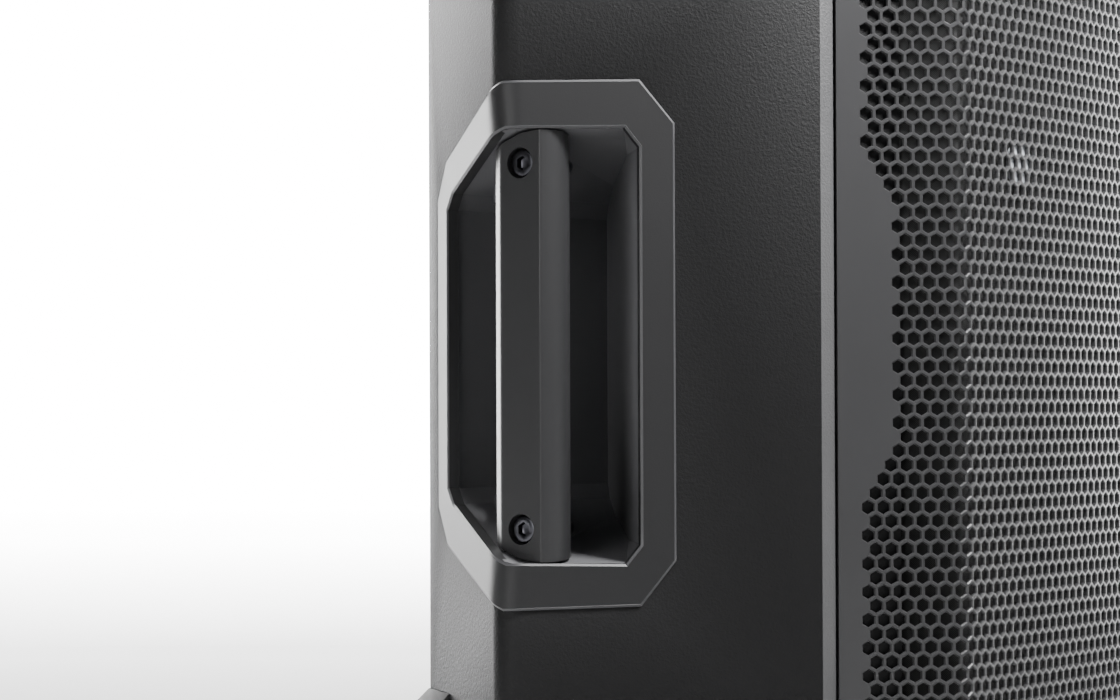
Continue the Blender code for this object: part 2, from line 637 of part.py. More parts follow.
# ---- rigging, bumpers and feet ----
def tray_box(side):
    """Lowest and highest corners of one front link tray."""
    y = FRONT_Y + FRONT_LINK_Y
    return (Vector((side * -FRONT_LINK_X - 0.012, y - 0.010, TOP - 0.014)),
            Vector((side * -FRONT_LINK_X + 0.012, y + FRONT_LINK_LENGTH + 0.004, TOP - 0.0005)))


def front_link(word, side):
    """A link that lies in its tray in the top panel and flips up about its front pin."""
    low, high = tray_box(side)
    x, y, z = side * -FRONT_LINK_X, FRONT_Y + FRONT_LINK_Y, TOP - 0.0055
    tray = add(word + "_link_tray", block("tray", low, high), BLACK_STEEL)
    wall = Vector((TRAY_WALL, TRAY_WALL, TRAY_WALL))
    boolean(tray, block("tray_room", low + wall, high + Vector((-TRAY_WALL, -TRAY_WALL, WALL))))
    boolean(tray, rod("pin_seat", (x - 0.011, y, z), (x + 0.011, y, z), 0.0021, 16))
    outline = fillet([(-0.005, -0.0045, 0.0044), (FRONT_LINK_LENGTH - 0.003, -0.0045, 0.002),
                      (FRONT_LINK_LENGTH - 0.003, 0.0045, 0.002), (-0.005, 0.0045, 0.0044)])
    bar = plate("link", outline, -0.0075, 0.0075)
    bar.transform(Matrix(((0, 0, 1, x), (1, 0, 0, y), (0, 1, 0, z), (0, 0, 0, 1))))
    link = add(word + "_front_link", bar, BRIGHT_STEEL)
    boolean(link, rod("trunnion", (x - 0.0105, y, z), (x + 0.0105, y, z), 0.0020, 16), "UNION")
    eye_y = y + FRONT_LINK_LENGTH - 0.014
    boolean(link, rod("eye", (x, eye_y, z - WALL), (x, eye_y, z + WALL), LINK_EYE, 16))


def rear_rigging(word, side):
    """A sliding link in a track on the back, with its quick-release pin."""
    x = side * -TRACK_X
    face = BACK_Y + GAP
    over = WALL
    track = add(word + "_rear_track",
                block("track", (x - TRACK_HALF, face, TRACK_LOW),
                      (x + TRACK_HALF, face + TRACK_DEEP, TRACK_HIGH)), BLACK_STEEL)
    boolean(track, block("channel", (x - CHANNEL_HALF, face + 0.004, TRACK_LOW - over),
                         (x + CHANNEL_HALF, face + 0.018, TRACK_HIGH + over)))
    boolean(track, block("mouth", (x - MOUTH_HALF, face + 0.010, TRACK_LOW - over),
                         (x + MOUTH_HALF, face + TRACK_DEEP + over, TRACK_HIGH + over)))
    pin_y = face + TRACK_DEEP / 2
    across = TRACK_HALF + over
    boolean(track, rod("pin_hole", (x - across, pin_y, PIN_Z), (x + across, pin_y, PIN_Z), PIN_RADIUS + GAP))
    link = add(word + "_rear_link",
               block("bar", (x - REAR_LINK_HALF, face + 0.0045, REAR_LINK_LOW),
                     (x + REAR_LINK_HALF, face + 0.0175, REAR_LINK_HIGH)), BRIGHT_STEEL)
    slot_high = PIN_Z + 0.006
    slot_low = slot_high - LINK_TRAVEL - 0.013
    boolean(link, block("slot", (x - across, pin_y - LINK_EYE, slot_low),
                        (x + across, pin_y + LINK_EYE, slot_high)))
    eye_z = REAR_LINK_HIGH - 0.014
    boolean(link, rod("eye", (x, face - over, eye_z), (x, pin_y + 2 * over, eye_z), LINK_EYE, 16))
    inner = x + side * TRACK_HALF
    pin = add(word + "_rear_pin",
              rod("pin", (x - side * 0.020, pin_y, PIN_Z), (inner + side * 0.004, pin_y, PIN_Z),
                  PIN_RADIUS, 24), BRIGHT_STEEL)
    boolean(pin, rod("pin_head", (inner + side * GAP, pin_y, PIN_Z),
                     (inner + side * 0.008, pin_y, PIN_Z), PIN_HEAD), "UNION")


def bumper(name, side, base, tip):
    """A rubber bumper round the back edge of a facet, flared from the shell at 45 degrees."""
    proud = 0.006
    edge = (side * -facet_inner_x(BACK_Y, 0), BACK_Y)

    def outline(out):
        corner_x = side * -facet_inner_x(BACK_Y + out, -out)
        return [facet_point(side, FACET_LENGTH - 0.030, -out), (corner_x, BACK_Y + out),
                (edge[0] + side * 0.022, BACK_Y + out), (edge[0] + side * 0.022, BACK_Y + GAP),
                (side * -facet_inner_x(BACK_Y + GAP, -GAP), BACK_Y + GAP),
                facet_point(side, FACET_LENGTH - 0.030, -GAP)]

    bm = bmesh.new()
    step = 1 if tip > base else -1
    levels = ((base, proud), (tip - step * proud, proud), (tip, 2 * GAP))
    loops = [[bm.verts.new((x, y, z)) for x, y in outline(out)] for z, out in levels]
    for one, two in zip(loops, loops[1:]):
        for i in range(len(one)):
            k = (i + 1) % len(one)
            bm.faces.new((one[i], one[k], two[k], two[i]))
    bm.faces.new(loops[0])
    bm.faces.new(loops[-1])
    add(name, as_mesh(bm, name), RUBBER)


for word, side in SIDES.items():
    side_shell(word, side)
    handle(word, side)
    woofer(word, side * -WOOFER_X)
    front_link(word, side)
    rear_rigging(word, side)
    bumper(word + "_bottom_bumper", side, 0.0, BUMPER_RISE)
    bumper(word + "_top_bumper", side, TOP, TOP - BUMPER_RISE)
    foot_x, foot_y = side * -FRONT_FOOT_X, FRONT_Y + FRONT_FOOT_Y
    foot = rod("foot", (foot_x, foot_y, 0), (foot_x, foot_y, FOOT - GAP), WALL)
    add(word + "_front_foot", foot, RUBBER)
end_panels()
back_panel()
front_baffle()
grille()
waveguide()
amplifier()
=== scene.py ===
"""Looks of a compact line array module: textured paint, perforated steel, cloth, grips and rear panel."""
from math import asin, cos, pi, radians, sin, sqrt, tan

import bmesh
import bpy
import numpy as np
from bpy.props import FloatProperty, IntProperty, PointerProperty, StringProperty
from mathutils import Matrix, Vector


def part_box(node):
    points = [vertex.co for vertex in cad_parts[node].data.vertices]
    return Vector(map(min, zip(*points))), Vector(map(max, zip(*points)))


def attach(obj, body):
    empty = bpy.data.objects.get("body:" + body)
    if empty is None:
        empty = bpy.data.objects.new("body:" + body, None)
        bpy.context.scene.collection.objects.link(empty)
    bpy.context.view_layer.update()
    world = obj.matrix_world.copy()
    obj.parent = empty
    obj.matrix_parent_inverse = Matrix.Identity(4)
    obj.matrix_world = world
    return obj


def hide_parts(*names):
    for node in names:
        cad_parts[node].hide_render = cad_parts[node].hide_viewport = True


bl_info = {
    "name": "Line Array Module Looks",
    "version": (1, 0, 0),
    "blender": (4, 5, 0),
    "location": "3D View > Sidebar > Speaker",
    "description": "Builds the visible surfaces of a compact line array module round its packed frame",
    "category": "Object",
}

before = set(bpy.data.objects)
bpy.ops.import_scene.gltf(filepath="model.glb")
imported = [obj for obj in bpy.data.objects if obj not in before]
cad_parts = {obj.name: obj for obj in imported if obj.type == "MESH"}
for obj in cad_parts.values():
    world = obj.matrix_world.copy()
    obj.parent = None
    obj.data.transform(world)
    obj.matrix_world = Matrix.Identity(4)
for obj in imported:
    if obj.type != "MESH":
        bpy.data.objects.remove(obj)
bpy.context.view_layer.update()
FRONT_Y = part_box("grille")[0].y
TOP_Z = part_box("top_panel")[1].z
MIDDLE = (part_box("bottom_panel")[0].z + TOP_Z) / 2
GRILLE_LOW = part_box("grille")[0].z
GRILLE_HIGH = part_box("grille")[1].z
HANDLE_Z = (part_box("left_handle_bar")[0].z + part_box("left_handle_bar")[1].z) / 2
MM = 0.001
# the step beside the grille: its upper edge and its slope, as run and depth, and the points of its
# section, as shares of the slope and rises off it
STEP_START = (0.1308, -0.0001)
STEP_SLOPE = (0.0062, 0.0032)
STEP_SECTION = ((0.0, 0.00005), (0.06, 0.0002), (0.94, 0.0002), (1.0, 0.0001), (1.0, -0.0001),
                (0.0, -0.0001))
# rows from the middle where the field of holes starts to widen, and how many rows it widens over
NOTCH_START, NOTCH_ROWS = 8, 4
CLOTH_MARGIN = 0.002
# half outlines of the bezel and of its opening, from the front round to the rear, as run and rise
BEZEL = ((0.0710, 0.0863), (0.0568, 0.1036), (0.0, 0.1035), (-0.0715, 0.0788), (-0.0845, 0.0632))
OPENING = ((0.0568, 0.0784), (0.0507, 0.0859), (0.0020, 0.0850), (-0.0617, 0.0633), (-0.0693, 0.0570))
# the recess: the way its front wall goes, as along and into, the height that its ceiling falls from, and
# the slopes of the ceiling towards the back wall and of its lip away from the skin
RECESS_FRONT = (0.0168, 0.1343, 0)
CEILING_HIGH, CEILING_FALL, LIP_FALL = 0.0845, 0.409, 0.157
LINER_DEPTH, LINER_WALL = 0.003, 0.0015
# the bar's posts: their plan, as along and into, and the height from the middle where they start
POST_PLAN = ((0.006, 0.0253), (0.026, 0.0253), (0.034, 0.100), (0.016, 0.100))
POST_START = 0.060
CONTACTS, CONTACT_REACH, SOCKET_DEPTH = 3, 0.0095, 0.0145
FLUTES, FLUTE_DEPTH = 24, 0.00035
SIDES = {"left": 1, "right": -1}


# ------------------------------------------------------------------ properties
class CabinetSizes(bpy.types.PropertyGroup):
    """The plan of the cabinet."""
    front_radius: FloatProperty(name="Front radius", description="Radius of the curved front",
                                default=1.089, unit="LENGTH")
    front_half: FloatProperty(name="Half front", description="Half the width between the two bends",
                              default=0.2275, unit="LENGTH")
    bend_turn: FloatProperty(name="Bend", description="Turn of the grille at each bend",
                             default=radians(39.9), subtype="ANGLE")
    side_length: FloatProperty(name="Side", description="From the bend back to the handle corner",
                               default=0.189, unit="LENGTH")
    edge_round: FloatProperty(name="Panel edges", description="Rounding of the painted edges",
                              default=0.0012, unit="LENGTH")


class GrilleSizes(bpy.types.PropertyGroup):
    """The perforated sheet and the cloth behind it."""
    columns: IntProperty(name="Columns", description="Hole columns between the first of each flange",
                         default=75)
    bend_column: FloatProperty(name="Bend column", description="Columns from the first one to the bend",
                               default=2.207)
    rows: IntProperty(name="Rows", description="Hole rows above the middle one", default=28)
    face_flats: FloatProperty(name="Hole at the face", description="Across flats, at the face",
                              default=0.0056, unit="LENGTH")
    hole_flats: FloatProperty(name="Hole", description="Across flats, past the rolled edge",
                              default=0.0048, unit="LENGTH")
    roll_depth: FloatProperty(name="Rolled edge", description="Depth of the rolled hole edge",
                              default=0.0005, unit="LENGTH")
    thickness: FloatProperty(name="Sheet", description="Sheet thickness", default=0.0015, unit="LENGTH")
    flange_depth: FloatProperty(name="Flange depth", description="Flange face behind the side panel's face",
                                default=0.0022, unit="LENGTH")
    flange_start: FloatProperty(name="Flange start", description="Run of the flange's rear edge",
                                default=0.1382, unit="LENGTH")
    cloth_setback: FloatProperty(name="Cloth setback", description="Cloth behind the grille's face",
                                 default=0.0055, unit="LENGTH")
    cloth_start: FloatProperty(name="Cloth start", description="Run of the cloth's rear edge",
                               default=0.166, unit="LENGTH")


class HandleSizes(bpy.types.PropertyGroup):
    """The bezel, recess and trim of the rear corners."""
    corner_turn: FloatProperty(name="Corner", description="Turn of the skin at the handle corner",
                               default=radians(84), subtype="ANGLE")
    corner_radius: FloatProperty(name="Corner radius", description="Rounding of the handle corner",
                                 default=0.010, unit="LENGTH")
    rake: FloatProperty(name="Rake", description="Rise of the bezel per length forwards", default=0.022)
    bevel: FloatProperty(name="Bevel", description="Width of the bezel's bevelled edges",
                         default=0.0009, unit="LENGTH")
    bezel_thick: FloatProperty(name="Bezel", description="Bezel thickness behind the skin",
                               default=0.004, unit="LENGTH")
    bezel_proud: FloatProperty(name="Proud", description="Bezel face in front of the skin",
                               default=0.0008, unit="LENGTH")
    recess_turn: FloatProperty(name="Recess turn", description="Turn of the recess's back wall",
                               default=radians(39), subtype="ANGLE")


class FinishColours(bpy.types.PropertyGroup):
    """Finish colours, as sRGB hexadecimal."""
    paint: StringProperty(name="Paint", description="Textured cabinet paint", default="#0c0c0d")
    powder: StringProperty(name="Powder coat", description="Grille and steelwork", default="#323233")
    plastic: StringProperty(name="Moulded plastic", description="Cups and sockets", default="#1b1b1c")
    grip: StringProperty(name="Grip", description="Grip bars", default="#272728")
    zinc: StringProperty(name="Zinc", description="Links and pins", default="#b9babc")


PROPERTIES = {"speaker_cabinet": CabinetSizes, "speaker_grille": GrilleSizes,
              "speaker_handle": HandleSizes, "speaker_colours": FinishColours}


def settings(group):
    """One of this file's property groups on the scene."""
    return getattr(bpy.context.scene, "speaker_" + group)


# ------------------------------------------------------------------ plan geometry
def side_frame():
    """The side panel in plan, left side: its corner, the way along it and the way into the cabinet."""
    cabinet = settings("cabinet")
    edge = asin(cabinet.front_half / cabinet.front_radius)
    turn = edge + cabinet.bend_turn
    along = np.array((cos(turn), -sin(turn)))
    into = np.array((sin(turn), cos(turn)))
    bend = np.array((-cabinet.front_half, FRONT_Y + cabinet.front_radius * (1 - cos(edge))))
    return bend - along * cabinet.side_length, along, into


def sheet_line(depth, start, steps=400):
    """Plan of a wrapped sheet, from its middle to one end: the front's circle, then a straight flange
    behind the side panel, with a quadratic blend of two tangents across the bend. Gives the distance
    along the face, the points, and the outward normals, as arrays."""
    cabinet, grille = settings("cabinet"), settings("grille")
    corner, along, into = side_frame()
    edge = asin(cabinet.front_half / cabinet.front_radius)
    cut = grille.flange_depth / tan(cabinet.bend_turn / 2)
    stop = edge - (cut + 0.0015) / cabinet.front_radius
    turn = np.linspace(0, stop, steps)
    radius = cabinet.front_radius - depth
    arc = np.stack((-radius * np.sin(turn), FRONT_Y + cabinet.front_radius - radius * np.cos(turn)), axis=1)
    run = cabinet.side_length - cut - 0.0015
    far = corner + run * along + (grille.flange_depth + depth) * into
    heading = np.array((-cos(stop), sin(stop)))
    # the blend's middle control point is where the two tangents cross
    gap = far - arc[-1]
    solve = np.linalg.solve(np.stack((heading, along), axis=1), gap)
    control = arc[-1] + solve[0] * heading
    t = np.linspace(0, 1, 24)[1:, None]
    blend = (1 - t) ** 2 * arc[-1] + 2 * t * (1 - t) * control + t ** 2 * far
    back = np.linspace(run, start, 60)[1:, None]
    flange = corner + back * along + (grille.flange_depth + depth) * into
    line = np.concatenate((arc, blend, flange))
    lengths = np.concatenate(((0,), np.cumsum(np.linalg.norm(np.diff(line, axis=0), axis=1))))
    slope = np.gradient(line, lengths, axis=0)
    slope /= np.linalg.norm(slope, axis=1)[:, None]
    normal = np.stack((-slope[:, 1], slope[:, 0]), axis=1)
    return lengths, line, normal * np.sign(-normal[:1, 1:])


def hole_pitch():
    """Spacing of the hole columns: half the front's arc, shared by the columns up to the bend."""
    cabinet, grille = settings("cabinet"), settings("grille")
    half_arc = cabinet.front_radius * asin(cabinet.front_half / cabinet.front_radius)
    return half_arc / (grille.columns / 2 - grille.bend_column)


def on_sheet(line, u, z, sink):
    """Points at a distance along a sheet line from its middle, a height, and a depth under its face."""
    lengths, points, normals = line
    away = np.abs(u)
    x = np.interp(away, lengths, points[:, 0]) - sink * np.interp(away, lengths, normals[:, 0])
    y = np.interp(away, lengths, points[:, 1]) - sink * np.interp(away, lengths, normals[:, 1])
    return np.stack((np.where(u > 0, x, -x), y, z + 0 * y), axis=-1)


def folded(side, run, z, inwards):
    """Points on the outer skin: a run along it, a height and a depth. The skin is straight on the side
    panel for positive runs and on the rear facet for negative ones, and a circular arc between the two
    tangent points round the corner."""
    handle = settings("handle")
    corner, along, into = side_frame()
    tangent = handle.corner_radius * tan(handle.corner_turn / 2)
    run, z, inwards = np.broadcast_arrays(*(np.asarray(a, float) for a in (run, z, inwards)))
    turn = np.clip((tangent - run) / (2 * tangent), 0, 1) * handle.corner_turn
    reach = handle.corner_radius - inwards
    c, s = cos(handle.corner_turn), sin(handle.corner_turn)
    pick = [run >= tangent, run <= -tangent]
    x = np.select(pick, [run, run * c + inwards * s], tangent - reach * np.sin(turn))
    y = np.select(pick, [inwards, -run * s + inwards * c], handle.corner_radius - reach * np.cos(turn))
    plan = corner + x[..., None] * along + y[..., None] * into
    return np.stack((side * plan[..., 0], plan[..., 1], HANDLE_Z + z), axis=-1)


# ------------------------------------------------------------------ meshes
def linear(text):
    """A linear colour from an sRGB hexadecimal one."""
    channels = [int(text[i:i + 2], 16) / 255 for i in (1, 3, 5)]
    return (*[c / 12.92 if c <= 0.04045 else ((c + 0.055) / 1.055) ** 2.4 for c in channels], 1.0)


def linked(name, data):
    """A new object of the scene that holds the data."""
    obj = bpy.data.objects.new(name, data)
    bpy.context.scene.collection.objects.link(obj)
    return obj


def make(name, points, faces, sharp=30, weld=1e-6):
    """A mesh object from points and polygons, with doubles merged and normals turned outwards."""
    mesh = bpy.data.meshes.new(name)
    mesh.from_pydata(np.asarray(points).reshape(-1, 3), [], faces)
    bm = bmesh.new()
    bm.from_mesh(mesh)
    bmesh.ops.remove_doubles(bm, verts=bm.verts, dist=weld)
    bmesh.ops.dissolve_degenerate(bm, edges=bm.edges, dist=weld)
    bmesh.ops.recalc_face_normals(bm, faces=bm.faces)
    bm.to_mesh(mesh)
    bm.free()
    mesh.shade_smooth()
    mesh.set_sharp_from_angle(angle=radians(sharp))
    return linked(name, mesh)


def grid_faces(rows, columns, round_rows=False, round_columns=False):
    """Quads of a grid of points, joined round where asked."""
    i = np.arange(rows if round_rows else rows - 1)
    j = np.arange(columns if round_columns else columns - 1)
    i, j = (a.ravel() for a in np.meshgrid(i, j, indexing="ij"))
    i2, j2 = (i + 1) % rows, (j + 1) % columns
    corners = (i * columns + j, i * columns + j2, i2 * columns + j2, i2 * columns + j)
    return np.stack(corners, axis=1).tolist()


def settle(obj, material, body, slot, *nodes):
    """Gives a finished piece its material and body, and hides the nodes it stands for; the slot is not
    used.
    """
    obj.data.materials.clear()
    obj.data.materials.append(material)
    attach(obj, body)
    if nodes:
        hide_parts(*nodes)
    return obj


def dress(material, round_off, *names):
    """Carried-over nodes: loose triangles are welded and joined into flat faces, then the sharp edges
    are rounded off by a small radius, which catches the light as a real edge does."""
    for name in names:
        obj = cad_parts[name]
        obj.data.materials.clear()
        obj.data.materials.append(material)
        obj.data.shade_smooth()
        weld = obj.modifiers.new("weld", "WELD")
        weld.merge_threshold = 0.00002
        if round_off:
            flat = obj.modifiers.new("flat", "DECIMATE")
            flat.decimate_type = "DISSOLVE"
            flat.angle_limit = radians(0.4)
            edge = obj.modifiers.new("edge", "BEVEL")
            edge.width = round_off
            edge.segments = 2
            edge.limit_method = "ANGLE"
            edge.angle_limit = radians(32)
        split = obj.modifiers.new("split", "EDGE_SPLIT")
        split.split_angle = radians(24)


# ------------------------------------------------------------------ materials
def add_node(tree, kind, values=None, links=None):
    """Adds a shader node, sets its settings and input values, and links its inputs."""
    made = tree.nodes.new(kind)
    for key, value in (values or {}).items():
        if isinstance(key, str) and hasattr(made, key):
            setattr(made, key, value)
    for key, value in (values or {}).items():
        if not isinstance(key, str) or not hasattr(made, key):
            made.inputs[key].default_value = value
    for key, output in (links or {}).items():
        tree.links.new(output, made.inputs[key])
    return made


def surface(name, colour, roughness, patch, shades, grit, height, detail=2.0, squeeze=(1, 1, 1),
            **values):
    """A Principled finish with two layers: a slow mottle of the colour over patches, and a fine
    bumped grit. Patch and grit are sizes in metres, height is the grit's, shades are the mottle's
    darkest and lightest factors, and squeeze stretches the grit along an axis."""
    material = bpy.data.materials.new(name)
    material.use_nodes = True
    tree = material.node_tree
    shader = tree.nodes["Principled BSDF"]
    shader.inputs["Roughness"].default_value = roughness
    for key, value in values.items():
        shader.inputs[key.replace("_", " ")].default_value = value
    place = add_node(tree, "ShaderNodeTexCoord").outputs["Object"]
    slow = add_node(tree, "ShaderNodeTexNoise", {"Scale": 1 / patch, "Detail": 4.0}, {"Vector": place})
    base = linear(colour)
    dark = tuple(c * shades[0] for c in base[:3]) + (1.0,)
    light = tuple(c * shades[1] for c in base[:3]) + (1.0,)
    mix = add_node(tree, "ShaderNodeMix", {"data_type": "RGBA", 6: dark, 7: light},
                   {0: slow.outputs["Fac"]})
    tree.links.new(mix.outputs[2], shader.inputs["Base Color"])
    along = add_node(tree, "ShaderNodeMapping", {"Scale": squeeze}, {"Vector": place})
    fine = add_node(tree, "ShaderNodeTexNoise", {"Scale": 1 / grit, "Detail": detail, "Roughness": 0.6},
                    {"Vector": along.outputs["Vector"]})
    bump = add_node(tree, "ShaderNodeBump", {"Strength": 1.0, "Distance": height},
                    {"Height": fine.outputs["Fac"]})
    tree.links.new(bump.outputs["Normal"], shader.inputs["Normal"])
    return material


def knitted_cloth():
    """Black knitted polyester: threads 0.8 mm apart pass over and under each other, dull and open, so
    the height is the product of two sine waves, one across and one up the cloth."""
    material = bpy.data.materials.new("knitted_polyester")
    material.use_nodes = True
    tree = material.node_tree
    shader = tree.nodes["Principled BSDF"]
    shader.inputs["Roughness"].default_value = 0.95
    shader.inputs["Sheen Weight"].default_value = 0.1
    flat = add_node(tree, "ShaderNodeUVMap", {"uv_map": "weave"})
    split = add_node(tree, "ShaderNodeSeparateXYZ", {}, {"Vector": flat.outputs["UV"]})
    waves = []
    for axis in ("X", "Y"):
        turn = add_node(tree, "ShaderNodeMath", {"operation": "MULTIPLY", 1: 2 * pi / (0.8 * MM)},
                        {0: split.outputs[axis]})
        waves.append(add_node(tree, "ShaderNodeMath", {"operation": "SINE"}, {0: turn.outputs[0]}))
    weave = add_node(tree, "ShaderNodeMath", {"operation": "MULTIPLY"},
                     {0: waves[0].outputs[0], 1: waves[1].outputs[0]})
    shade = add_node(tree, "ShaderNodeMapRange", {"From Min": -1.0}, {"Value": weave.outputs[0]})
    threads = {"data_type": "RGBA", 6: linear("#020202"), 7: linear("#101010")}
    mix = add_node(tree, "ShaderNodeMix", threads, {0: shade.outputs["Result"]})
    tree.links.new(mix.outputs[2], shader.inputs["Base Color"])
    bump = add_node(tree, "ShaderNodeBump", {"Distance": 0.2 * MM}, {"Height": weave.outputs[0]})
    tree.links.new(bump.outputs["Normal"], shader.inputs["Normal"])
    return material


MATERIALS = {}


def finish(name):
    """The named material, made once."""
    colours = settings("colours")
    makers = {
        # sprayed polyurea on plywood: pebbles of about 1.2 mm, matt and dark
        "paint": lambda: surface("textured_polyurea_paint", colours.paint, 0.60, 0.060, (0.85, 1.15),
                                 1.2 * MM, 0.28 * MM, detail=3.0, Specular_IOR_Level=0.24),
        # polyester powder coat on steel: faint orange peel of 0.9 mm under a satin sheen
        "powder": lambda: surface("satin_powder_coat", colours.powder, 0.34, 0.030, (0.92, 1.08),
                                  0.9 * MM, 0.015 * MM, Specular_IOR_Level=0.35),
        # the same coat sprayed thicker on trays, tracks and frames: duller, with a deeper peel
        "steelwork": lambda: surface("steelwork_powder_coat", "#2c2c2d", 0.50, 0.030, (0.9, 1.1),
                                     0.9 * MM, 0.03 * MM),
        # glass-filled nylon from an eroded mould: even grain of 0.7 mm with a low sheen
        "nylon": lambda: surface("moulded_nylon", colours.plastic, 0.50, 0.045, (0.93, 1.06),
                                 0.7 * MM, 0.03 * MM, Specular_IOR_Level=0.35),
        # the recess's nylon is painted paler than the bezel's: painted light, standing in for light that
        # reaches into the recess
        "liner": lambda: surface("recess_nylon_painted_light", "#58585a", 0.60, 0.045, (0.93, 1.06),
                                 0.7 * MM, 0.04 * MM),
        # the bezel's bevels in a paler, smoother nylon: a painted highlight for the light catching their
        # edges
        "bevel_highlight": lambda: surface("bevel_painted_highlight_nylon", "#39393b", 0.45, 0.045, (0.9, 1.1),
                                   0.7 * MM, 0.02 * MM),
        # the step's edge in a paler paint than the panels: painted light, for the front light falling on
        # the slope
        "lit_step_paint": lambda: surface("step_edge_painted_light", "#49494a", 0.55, 0.020, (0.85, 1.15),
                                  1.0 * MM, 0.30 * MM, detail=3.0),
        # the grip is polished where hands rub it, so its grain is finer and its sheen tighter
        "grip": lambda: surface("satin_grip_nylon", colours.grip, 0.38, 0.050, (0.95, 1.05),
                                0.6 * MM, 0.010 * MM, Specular_IOR_Level=0.40),
        # oil-blackened steel: dark, glossy, with fine turning marks
        "black_oxide": lambda: surface("black_oxide_steel", "#55555a", 0.28, 0.004, (0.7, 1.1),
                                       0.3 * MM, 0.004 * MM, Metallic=1.0),
        # tin-plated brass pins: pale, soft shine
        "contact": lambda: surface("tin_plated_brass", "#c9c2ae", 0.25, 0.003, (0.85, 1.05),
                                   0.3 * MM, 0.003 * MM, Metallic=1.0),
        # bright zinc plate: a soft spangle and drawing marks along the bar
        "zinc": lambda: surface("zinc_plate", colours.zinc, 0.32, 0.010, (0.85, 1.08),
                                0.5 * MM, 0.004 * MM, squeeze=(1, 1, 0.1), Metallic=1.0),
        # black anodised extrusion: drawn lines along the fins
        "anodised": lambda: surface("black_anodised_aluminium", "#2b2b2e", 0.42, 0.020, (0.85, 1.15),
                                    0.4 * MM, 0.006 * MM, squeeze=(1, 1, 0.05), Metallic=0.8),
        # ferrite under brushed paint: dull, and lumpy over 1.5 mm
        "ferrite": lambda: surface("painted_ferrite", "#2b2b2e", 0.60, 0.020, (0.8, 1.2),
                                   1.5 * MM, 0.05 * MM),
        # moulded rubber: dull and faintly dusty, grain of 1 mm
        "rubber": lambda: surface("moulded_rubber", "#242424", 0.80, 0.020, (0.8, 1.3),
                                  1.0 * MM, 0.05 * MM),
        # foam roll of the surround: porous, with pores of 0.8 mm and no shine
        "foam": lambda: surface("foam_roll", "#1c1c1c", 0.90, 0.010, (0.8, 1.2), 0.8 * MM, 0.08 * MM),
        # coated paper pulp: pressed fibres a few millimetres long
        "paper": lambda: surface("coated_paper_pulp", "#2b2b2c", 0.85, 0.004, (0.7, 1.3),
                                 1.5 * MM, 0.10 * MM, detail=5.0),
        # solder mask over copper tracks: green, glossy and uneven over 2.5 mm
        "laminate": lambda: surface("solder_mask", "#12512f", 0.35, 0.006, (0.6, 1.3),
                                    2.5 * MM, 0.05 * MM),
        # clear polycarbonate over a pale reflector
        "lens": lambda: surface("diffusing_polycarbonate", "#b8bcc2", 0.22, 0.004, (0.9, 1.05),
                                0.8 * MM, 0.02 * MM, IOR=1.58),
        "cloth": knitted_cloth,
    }
    if name not in MATERIALS:
        MATERIALS[name] = makers[name]()
    return MATERIALS[name]


# ------------------------------------------------------------------ pieces
def step_edge(name, side):
    """The sloped step between the side panel and the grille: a strip that runs up the cabinet, its
    section a thin plate on the slope with rounded edges, in a paler paint that is painted light."""
    start, slope = np.array(STEP_START), np.array(STEP_SLOPE)
    out = np.array((slope[1], -slope[0])) / np.linalg.norm(slope)
    profile = [start + slope * t + out * rise for t, rise in STEP_SECTION]
    corner, along, into = side_frame()
    plan = np.array([corner + run * along + sink * into for run, sink in profile])
    z = np.linspace(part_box("left_side_shell")[0].z + 0.0005, TOP_Z - 0.0005, 40)
    points = np.stack(np.broadcast_arrays(side * plan[None, :, 0], plan[None, :, 1], z[:, None]), axis=-1)
    count = len(profile)
    faces = grid_faces(len(z), count, False, True)
    faces += [list(range(count)), list(range((len(z) - 1) * count, len(z) * count))]
    return make(name, points, faces)


class SPEAKER_OT_cabinet(bpy.types.Operator):
    """Panels and shells in textured paint"""
    bl_idname = "speaker.cabinet"
    bl_label = "Cabinet"

    def execute(self, context):
        dress(finish("paint"), settings("cabinet").edge_round, "top_panel", "bottom_panel",
              "left_side_shell", "right_side_shell", "back_panel")
        dress(finish("paint"), 0, "front_baffle")
        # the step edges are skinned in a paler paint: painted light where the front light falls on the
        # slope
        for word, side in SIDES.items():
            settle(step_edge(word + "_step_edge", side), finish("lit_step_paint"), "cabinet",
                   "black_textured_paint")
        return {"FINISHED"}


def hexagon(flats):
    """Corners of an upright hexagon of one width across its flats, as offsets along and up."""
    angle = radians(30) + np.arange(6) * radians(60)
    return flats / sqrt(3) * np.stack((np.cos(angle), np.sin(angle)), axis=1)


